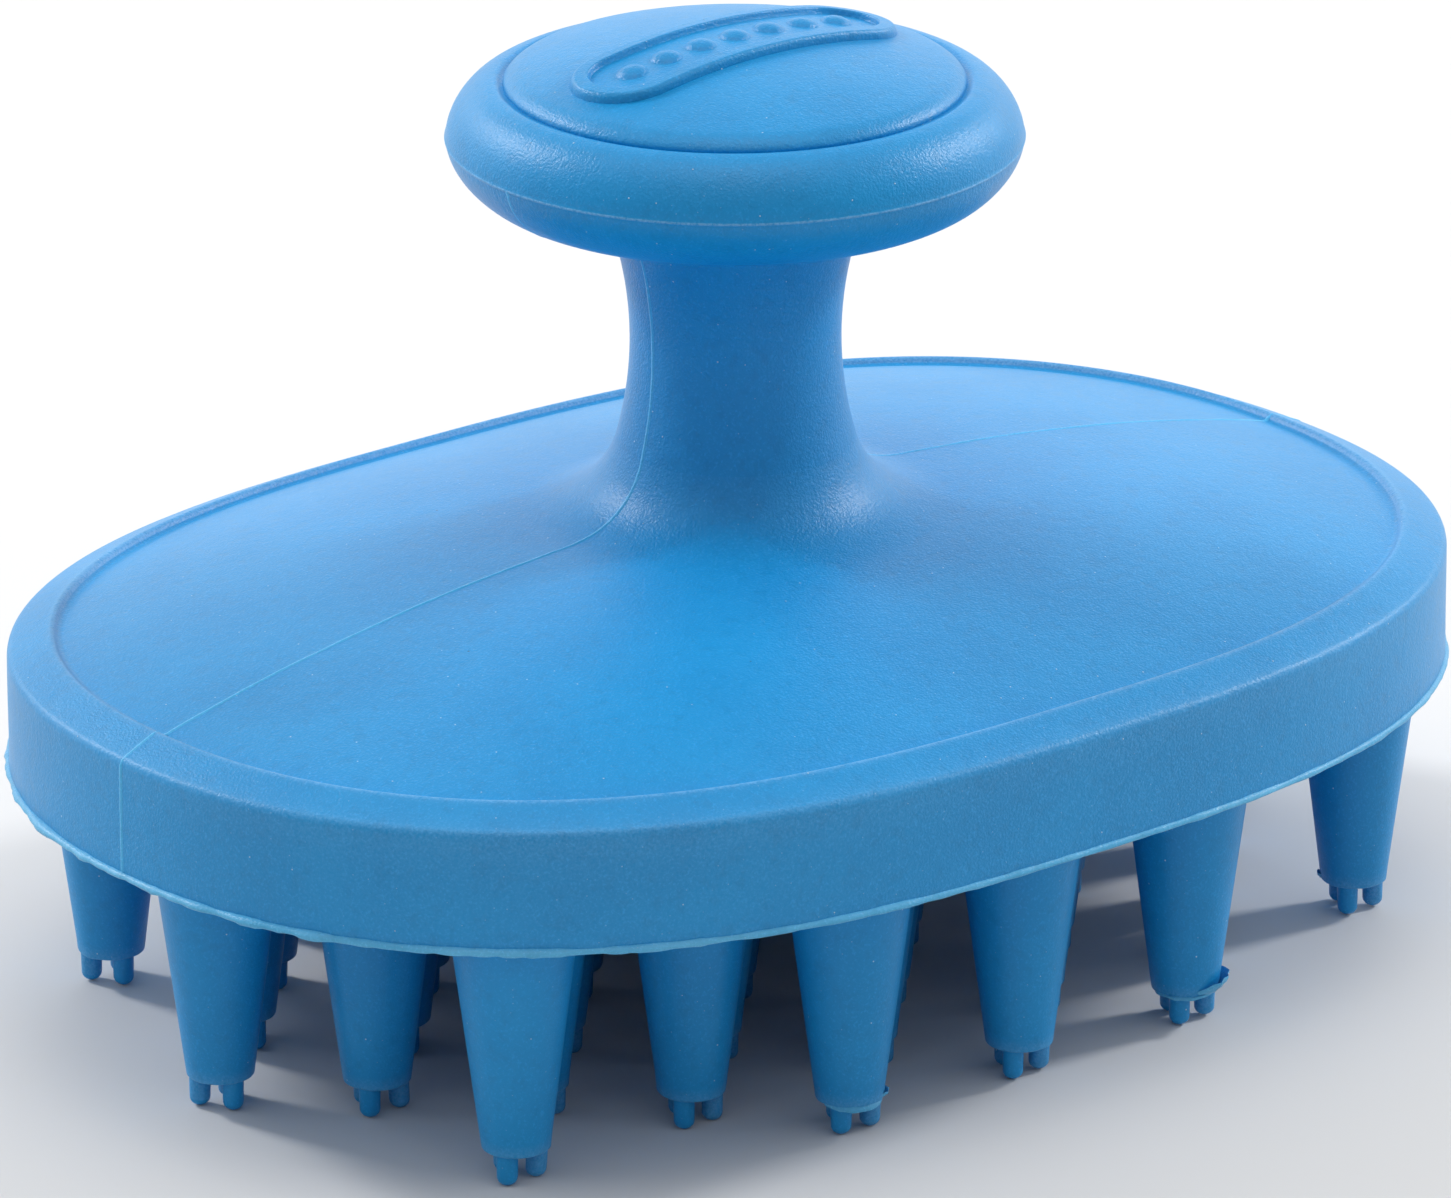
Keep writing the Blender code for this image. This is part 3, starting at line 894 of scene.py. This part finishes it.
def resample(path, spacing):
    """The same line with evenly spaced points."""
    path = np.asarray(path, float)
    along = np.concatenate([[0.0], np.cumsum(np.linalg.norm(np.diff(path, axis=0), axis=1))])
    wanted = np.linspace(0.0, along[-1], max(3, int(along[-1] / spacing)))
    return np.column_stack([np.interp(wanted, along, path[:, k]) for k in range(3)])


def seam(name, path, material, seed, height=SEAM_HEIGHT):
    """A parting-line bead over a path in the plane Y = 0, standing out from the surface."""
    path = resample(path, SEAM_SPACING)
    along = np.gradient(path, axis=0)
    along /= np.linalg.norm(along, axis=1, keepdims=True)
    across = np.array([0.0, 1.0, 0.0])
    out = np.cross(along, across)
    if path[0][0] > 0.0:
        out = -out
    for i in range(len(path)):
        path[i, 1] += SEAM_WOBBLE * wobble(path[i, 0] * SEAM_WAVES, seed, path[i, 2] * SEAM_WAVES)
    side = np.tile(across, (len(path), 1))
    lumps = np.array([wobble(p[0] * SEAM_LUMPS, seed + SEAM_LUMP_SEED, p[2] * SEAM_LUMPS) for p in path])
    factors = 1.0 + SEAM_LUMP_SHARE * lumps
    bead = ribbon(name, path, out, side, SEAM_WIDTH * factors ** 0.5, height * factors)
    finish_piece(bead, material)


def lip_section(x, y):
    """(outwards, up) points of the lip at a place on the outline: rippled, and more ragged at -X and +Y."""
    ripple = wobble(x * LIP_RIPPLES, y * LIP_RIPPLES, 1.0)
    ripple += LIP_FINE_SHARE * wobble(x * LIP_FINE_RIPPLES, y * LIP_FINE_RIPPLES, 2.0)
    across = LIP_RAGGED_BACK * abs(y) * (1.0 if y > 0 else LIP_RAGGED_FRONT)
    ragged = smooth((-x + across - LIP_RAGGED_FROM) / LIP_RAGGED_SPAN)
    reach = LIP_REACH * (1.0 + LIP_REACH_VARIES * ripple + LIP_REACH_RAGGED * ragged * (1.0 + ripple))
    reach = max(LIP_LEAST_REACH, reach)
    droop = LIP_DROOP + LIP_DROOP_VARIES * wobble(x * LIP_DROOP_WAVES, y * LIP_DROOP_WAVES, 7.0)
    droop += LIP_DROOP_RAGGED * ragged * max(0.0, ripple)
    tall = LIP_HEIGHT * (1.0 + LIP_HEIGHT_VARIES * ripple)
    upper = [(-LIP_OVERLAP, tall), (0.0, tall), (reach * 0.55, tall * 0.8), (reach * 0.9, tall * 0.45)]
    lower = [(reach, tall * 0.12), (reach * 0.85, -droop), (reach * 0.4, -droop * 1.2)]
    return upper + lower + list(LIP_UNDERLAP)


def rim_lip(material):
    """The thin uneven flash round the base's bottom edge, a closed tube."""
    plan, normal = outline_frame()
    count = len(plan)
    points = []
    for i in range(count):
        section = lip_section(plan[i][0], plan[i][1])
        for outwards, up in section:
            flat = plan[i] + normal[i] * outwards
            points.append((flat[0], flat[1], UNDERSIDE + up))
    size = len(section)
    faces = []
    for i in range(count):
        j = (i + 1) % count
        for k in range(size):
            m = (k + 1) % size
            faces.append((i * size + k, i * size + m, j * size + m, j * size + k))
    mesh = bpy.data.meshes.new("rim_flash")
    mesh.from_pydata(points, [], faces)
    face_outwards(mesh)
    mesh.shade_smooth()
    finish_piece(link(mesh, "rim_flash"), material)


# ---------------------------------------------------------------- bristles

def nub(bm, centre, tip_z, length, lean, lean_turn):
    """A short finger with a rounded end, hanging from the tip face."""
    profile = [(NUB_RADIUS, NUB_SINK), (NUB_RADIUS, 0.0)]
    profile.append((NUB_RADIUS * NUB_WAIST_SHARE, -length * NUB_WAIST_AT))
    round_height = NUB_RADIUS * NUB_END_HEIGHT
    for k in range(NUB_END_STEPS):
        turn = math.pi / 2.0 * k / NUB_END_STEPS
        radius = NUB_RADIUS * NUB_END_SHARE * math.cos(turn)
        profile.append((radius, -length + round_height * (1.0 - math.sin(turn))))
    shear = math.tan(lean)
    loops = []
    for radius, z in profile:
        hang = max(0.0, -z)
        dx = shear * hang * math.cos(lean_turn)
        dy = shear * hang * math.sin(lean_turn)
        loop = []
        for i in range(NUB_FACETS):
            turn = 2.0 * math.pi * i / NUB_FACETS
            x = centre[0] + dx + radius * math.cos(turn)
            y = centre[1] + dy + radius * math.sin(turn)
            loop.append(bm.verts.new((x, y, tip_z + z)))
        loops.append(loop)
    for upper, lower in zip(loops, loops[1:]):
        for i in range(NUB_FACETS):
            j = (i + 1) % NUB_FACETS
            bm.faces.new((lower[i], lower[j], upper[j], upper[i]))
    bm.faces.new(loops[0])
    bm.faces.new(list(reversed(loops[-1])))


def shaft_profile(root_radius, tip_z):
    """(radius, z) from inside the base, round the root's fillet and down the taper to the rounded tip."""
    profile = [(root_radius * ROOT_CORE_SHARE, UNDERSIDE + ROOT_DEPTH),
               (root_radius + ROOT_FILLET, UNDERSIDE + ROOT_DEPTH * ROOT_SHOULDER_SHARE)]
    taper = (root_radius - TIP_RADIUS) / BRISTLE_LENGTH
    for k in range(ROOT_FILLET_STEPS + 1):
        turn = math.pi / 2.0 * k / ROOT_FILLET_STEPS
        drop = ROOT_FILLET * math.sin(turn)
        out = ROOT_FILLET * (1.0 - math.cos(math.pi / 2.0 - turn))
        profile.append((root_radius - taper * drop + out, UNDERSIDE - drop))
    start_z = UNDERSIDE - ROOT_FILLET
    end_z = tip_z + TIP_ROUNDING
    for k in range(1, SHAFT_STEPS + 1):
        z = start_z + (end_z - start_z) * k / SHAFT_STEPS
        profile.append((root_radius - taper * (UNDERSIDE - z), z))
    edge = profile[-1][0]
    for k in range(1, TIP_ROUNDING_STEPS + 1):
        turn = math.pi / 2.0 * k / TIP_ROUNDING_STEPS
        profile.append((edge - TIP_ROUNDING * (1.0 - math.cos(turn)), end_z - TIP_ROUNDING * math.sin(turn)))
    return profile


def shaft_skin(name, profile, tip_z, lip_shift, seed):
    """The shaft's skin, with a faint uneven lip and a worn tip."""
    turns = np.linspace(0.0, 2.0 * np.pi, BRISTLE_POINTS, endpoint=False)
    rings = []
    wear_and_highlight = []
    for radius, z in reversed(profile):
        near_tip = smooth(1.0 - (z - tip_z) / TIP_WEAR_HEIGHT)
        ring = []
        for t in turns:
            across = TIP_LIP_UNEVENNESS * math.cos(t) + lip_shift
            swell = max(0.0, wobble(across, TIP_LIP_UNEVENNESS * math.sin(t), seed))
            reach = radius + TIP_LIP * near_tip * swell
            ring.append((reach * math.cos(t), reach * math.sin(t), z))
        rings.append(np.array(ring))
        wear_and_highlight.append(TIP_WEAR * near_tip)
    return skin(name, rings, wear_and_highlight)


def bristle_piece(name, x, y, seed, material):
    """One bristle: root fillet, tapered shaft, soft tip edge and three nubs."""
    def vary(k):
        """How far one of the bristle's own small differences, numbered k, is from the usual: -1 to 1."""
        return wobble(x * SHAPE_WAVES + k * SHAPE_STEP_X, y * SHAPE_WAVES - k * SHAPE_STEP_Y, seed + k)

    low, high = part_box(name)
    tip_z = UNDERSIDE - BRISTLE_LENGTH + BRISTLE_SHORTENING * abs(vary(1))
    profile = shaft_profile((high.x - low.x) / 2.0, tip_z)
    shaft = link(shaft_skin(name + "_shaft", profile, tip_z, vary(2) * TIP_LIP_SHIFT, seed), name + "_shaft")

    bm = bmesh.new()
    turn_z = NUB_TURN if y > -MIDDLE_ROW_MARGIN else -NUB_TURN
    turn_z += NUB_TURN_VARIES * vary(3)
    for k in range(NUB_COUNT):
        t = turn_z + 2.0 * math.pi * k / NUB_COUNT
        centre = (NUB_CIRCLE_RADIUS * math.cos(t), NUB_CIRCLE_RADIUS * math.sin(t))
        length = NUB_LENGTH - NUB_SHORTENING * abs(vary(5 + k))
        nub(bm, centre, tip_z, length, NUB_LEAN_VARIES * vary(9 + k), NUB_LEAN_TURN_VARIES * vary(13 + k))
    bmesh.ops.recalc_face_normals(bm, faces=bm.faces)
    fingers_mesh = bpy.data.meshes.new(name + "_nubs")
    bm.to_mesh(fingers_mesh)
    bm.free()
    fingers = link(fingers_mesh, name + "_nubs")
    join = shaft.modifiers.new("nubs", "BOOLEAN")
    join.operation = "UNION"
    join.solver = "EXACT"
    join.object = fingers
    graph = bpy.context.evaluated_depsgraph_get()
    mesh = bpy.data.meshes.new_from_object(shaft.evaluated_get(graph))
    for scratch in (shaft, fingers):
        old = scratch.data
        bpy.data.objects.remove(scratch)
        bpy.data.meshes.remove(old)
    mesh.name = "skin_" + name
    mesh.transform(Matrix.Translation((x, y, 0.0)))
    shade(mesh, BRISTLE_SHARP)
    piece = link(mesh, "skin_" + name)
    finish_piece(piece, material, [name], body=None)
    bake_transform(piece)


def tip_flash(name, bristle, place, turn, span, reach, lift, material):
    """A thin torn fin of silicone on the edge of a bristle's tip, curling up at its outer edge."""
    tip_z = UNDERSIDE - BRISTLE_LENGTH + FLASH_HEIGHT
    half = np.array([0.0, 0.0, FLASH_HALF_THICKNESS])
    middle = []
    for i in range(FLASH_COLUMNS + 1):
        share = i / FLASH_COLUMNS
        angle = turn + span * (share - 0.5)
        envelope = math.sin(math.pi * share) ** FLASH_ROUNDNESS if 0 < i < FLASH_COLUMNS else 0.0
        ragged = 1.0 + FLASH_RAGGEDNESS * wobble(i * FLASH_RAG_STEP, turn * FLASH_RAG_TURN, FLASH_RAG_SEED)
        for k in range(FLASH_ROWS + 1):
            out = TIP_RADIUS - FLASH_OVERLAP + reach * envelope * ragged * k / FLASH_ROWS
            buckle = FLASH_BUCKLE * wobble(i * FLASH_BUCKLE_COLUMN, k * FLASH_BUCKLE_ROW, turn)
            z = tip_z + lift * envelope * (k / FLASH_ROWS) ** 2 + buckle
            middle.append(np.array([place[0] + out * math.cos(angle), place[1] + out * math.sin(angle), z]))
    points = [point + half for point in middle] + [point - half for point in middle]
    stride = FLASH_ROWS + 1
    total = len(middle)
    faces = []
    for i in range(FLASH_COLUMNS):
        for k in range(FLASH_ROWS):
            a = i * stride + k
            quad = (a, a + 1, a + stride + 1, a + stride)
            faces.append(quad)
            faces.append(tuple(total + v for v in reversed(quad)))
    border = list(range(FLASH_ROWS))
    border += [i * stride + FLASH_ROWS for i in range(FLASH_COLUMNS)]
    border += [FLASH_COLUMNS * stride + k for k in range(FLASH_ROWS, 0, -1)]
    border += [i * stride for i in range(FLASH_COLUMNS, 0, -1)]
    for a, b in zip(border, border[1:] + border[:1]):
        faces.append((b, a, total + a, total + b))
    mesh = bpy.data.meshes.new(name)
    mesh.from_pydata([p.tolist() for p in points], [], faces)
    face_outwards(mesh)
    shade(mesh, FLASH_SHARP)
    finish_piece(link(mesh, name), material, body=bristle)


# ---------------------------------------------------------------- stage

def beside(right, away, up):
    """A direction or place given from the camera's side: to its right, away from it, and up."""
    across = Vector((math.cos(CAMERA_AZIMUTH), math.sin(CAMERA_AZIMUTH), 0.0))
    ahead = Vector((-math.sin(CAMERA_AZIMUTH), math.cos(CAMERA_AZIMUTH), 0.0))
    return across * right + ahead * away + Vector((0.0, 0.0, up))


def make_camera():
    data = bpy.data.cameras.new("camera")
    data.sensor_width = CAMERA_SENSOR
    data.lens = CAMERA_LENS
    data.shift_x, data.shift_y = CAMERA_SHIFT
    data.clip_start, data.clip_end = CAMERA_CLIP
    camera = bpy.data.objects.new("camera", data)
    bpy.context.scene.collection.objects.link(camera)
    back = beside(0.0, -math.cos(CAMERA_ELEVATION), math.sin(CAMERA_ELEVATION))
    right = beside(1.0, 0.0, 0.0)
    turned_right = right * math.cos(CAMERA_ROLL) + back.cross(right) * math.sin(CAMERA_ROLL)
    turned_up = back.cross(turned_right)
    place = Matrix((turned_right, turned_up, back)).transposed().to_4x4()
    place.translation = CAMERA_TARGET + back * CAMERA_DISTANCE
    camera.matrix_world = place
    bpy.context.scene.camera = camera


def make_floor():
    half = FLOOR_HALF
    corners = [(-half, -half, 0.0), (half, -half, 0.0), (half, half, 0.0), (-half, half, 0.0)]
    mesh = bpy.data.meshes.new("floor")
    mesh.from_pydata(corners, [], [(0, 1, 2, 3)])
    floor = link(mesh, "floor")
    material = bpy.data.materials.new("pale_floor")
    material.use_nodes = True
    shader = material.node_tree.nodes["Principled BSDF"]
    shader.inputs["Base Color"].default_value = (FLOOR_GREY, FLOOR_GREY, FLOOR_GREY, 1.0)
    shader.inputs["Roughness"].default_value = FLOOR_ROUGHNESS
    mesh.materials.append(material)


def make_world():
    """A white backdrop low behind the brush, over a dim horizon that grows brighter overhead."""
    world = bpy.data.worlds.new("studio")
    world.use_nodes = True
    tree = world.node_tree
    background = tree.nodes["Background"]
    background.inputs["Color"].default_value = (1.0, 1.0, 1.0, 1.0)
    direction = node(tree, "ShaderNodeTexCoord").outputs["Generated"]
    away = node(tree, "ShaderNodeVectorMath", operation="DOT_PRODUCT")
    put(tree, direction, away.inputs[0])
    away.inputs[1].default_value = beside(0.0, 1.0, 0.0)
    split = node(tree, "ShaderNodeSeparateXYZ")
    put(tree, direction, split.inputs[0])
    behind = step_value(tree, away.outputs["Value"], -BACKDROP_FADE, BACKDROP_FADE)
    low = step_value(tree, split.outputs["Z"], BACKDROP_HIGH, BACKDROP_LOW)
    backdrop = math_node(tree, "MULTIPLY", behind, low)
    overhead = step_value(tree, split.outputs["Z"], OVERHEAD_LOW, OVERHEAD_HIGH)
    ambient = math_node(tree, "MULTIPLY_ADD", overhead, WORLD_ZENITH - WORLD_HORIZON, WORLD_HORIZON)
    strength = math_node(tree, "MULTIPLY_ADD", backdrop, WORLD_BACKDROP, ambient)
    put(tree, strength, background.inputs["Strength"])
    bpy.context.scene.world = world


def make_lamp(name, place, size, power):
    """A square lamp that faces the brush."""
    data = bpy.data.lights.new(name, "AREA")
    data.shape = "RECTANGLE"
    data.size = size
    data.size_y = size
    data.energy = power
    lamp = bpy.data.objects.new(name, data)
    lamp.location = place
    lamp.rotation_euler = (LAMP_AIM - place).to_track_quat("-Z", "Y").to_euler()
    bpy.context.scene.collection.objects.link(lamp)


def make_stage():
    make_floor()
    make_world()
    bpy.context.scene.view_settings.view_transform = "Standard"
    for name, place, size, power in LAMPS:
        make_lamp(name, beside(*place), size, power)


# ---------------------------------------------------------------- the brush

def make_base(material):
    """The base's skin. Returns its rings for the parting lines."""
    rings, wear_and_highlight = base_rings()
    mesh = skin("base_skin", rings, wear_and_highlight)
    finish_piece(link(mesh, "base_skin"), material, ["oval_base"])
    return rings


def make_stem(material):
    """The stem's skin. Returns its rings for the parting lines."""
    rings = profile_rings(stem_profile())
    mesh = skin("stem_skin", rings)
    finish_piece(link(mesh, "stem_skin"), material, ["handle_stem"])
    return rings


def make_knob(material):
    """The knob's skin, worn along the bead at its widest. Returns its rings for the parting lines."""
    rings = profile_rings(knob_profile())
    wear_and_highlight = [1.0 if abs(ring[0][2] - KNOB_WIDEST) < KNOB_BEAD_WIDTH / 4.0 else 0.0 for ring in rings]
    mesh = skin("knob_skin", rings, wear_and_highlight)
    finish_piece(link(mesh, "knob_skin"), material, ["handle_knob"])
    return rings


def make_disc(material):
    mesh = skin("disc_skin", profile_rings(disc_profile()))
    finish_piece(link(mesh, "disc_skin"), material, ["knob_top_disc"])


def make_pad(material):
    mesh = skin("pad_skin", pad_rings(), capped=False)
    weld(mesh)
    finish_piece(link(mesh, "pad_skin"), material, ["badge_pad"])


def make_parting_lines(material, base, stem, knob):
    """Beads up the base, the stem and the knob's lower half, at both ends of the long axis.

    The base's start on its rounded bottom edge, and the stem's leave out its tucked-in ends.
    """
    for side, turn in (("right", 0), ("left", OUTLINE_POINTS // 2)):
        path = [ring[turn] for ring in base[SEAM_FIRST_RING:]]
        seam(f"base_parting_{side}", path, material, turn)
    for side, turn in (("right", 0), ("left", ROUND_POINTS // 2)):
        path = [ring[turn] for ring in stem[1:-1]]
        seam(f"stem_parting_{side}", path, material, turn + 1)
        low = [ring[turn] for ring in knob if ring[0][2] <= KNOB_WIDEST][1:]
        seam(f"knob_parting_{side}", low, material, turn + 2, KNOB_SEAM_HEIGHT)


def make_bristles(material):
    """Every bristle in place of its CAD node. Returns their places in plan by name."""
    places = {}
    for name in sorted(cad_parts):
        if not name.startswith("bristle_"):
            continue
        low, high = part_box(name)
        row = int(name.split("_r")[1].split("_")[0])
        column = int(name.split("_c")[1])
        x = (low.x + high.x) / 2.0
        y = (low.y + high.y) / 2.0
        bristle_piece(name, x, y, row * 10.0 + column, material)
        places[name] = (x, y)
    return places


def main():
    body = silicone("moulded_silicone", DEEP, PALE, BODY_ROUGHNESS)
    grip = silicone("knob_silicone", DEEP, PALE, KNOB_ROUGHNESS)
    finger = silicone("bristle_silicone", DEEP, PALE, BRISTLE_ROUGHNESS, BRISTLE_GRAIN_DEPTH)
    bead = silicone("seam_silicone", SEAM_DEEP, SEAM_PALE, SEAM_ROUGHNESS)
    torn = silicone("flash_silicone", FLASH_DEEP, FLASH_PALE, SEAM_ROUGHNESS)

    base = make_base(body)
    stem = make_stem(body)
    knob = make_knob(grip)
    make_disc(grip)
    make_pad(grip)
    make_parting_lines(bead, base, stem, knob)
    rim_lip(torn)
    places = make_bristles(finger)
    for name, bristle, turn, span, reach, lift in TIP_FLASHES:
        tip_flash(name, bristle, places[bristle], CAMERA_AZIMUTH + turn, span, reach, lift, torn)


make_camera()
make_stage()
main()
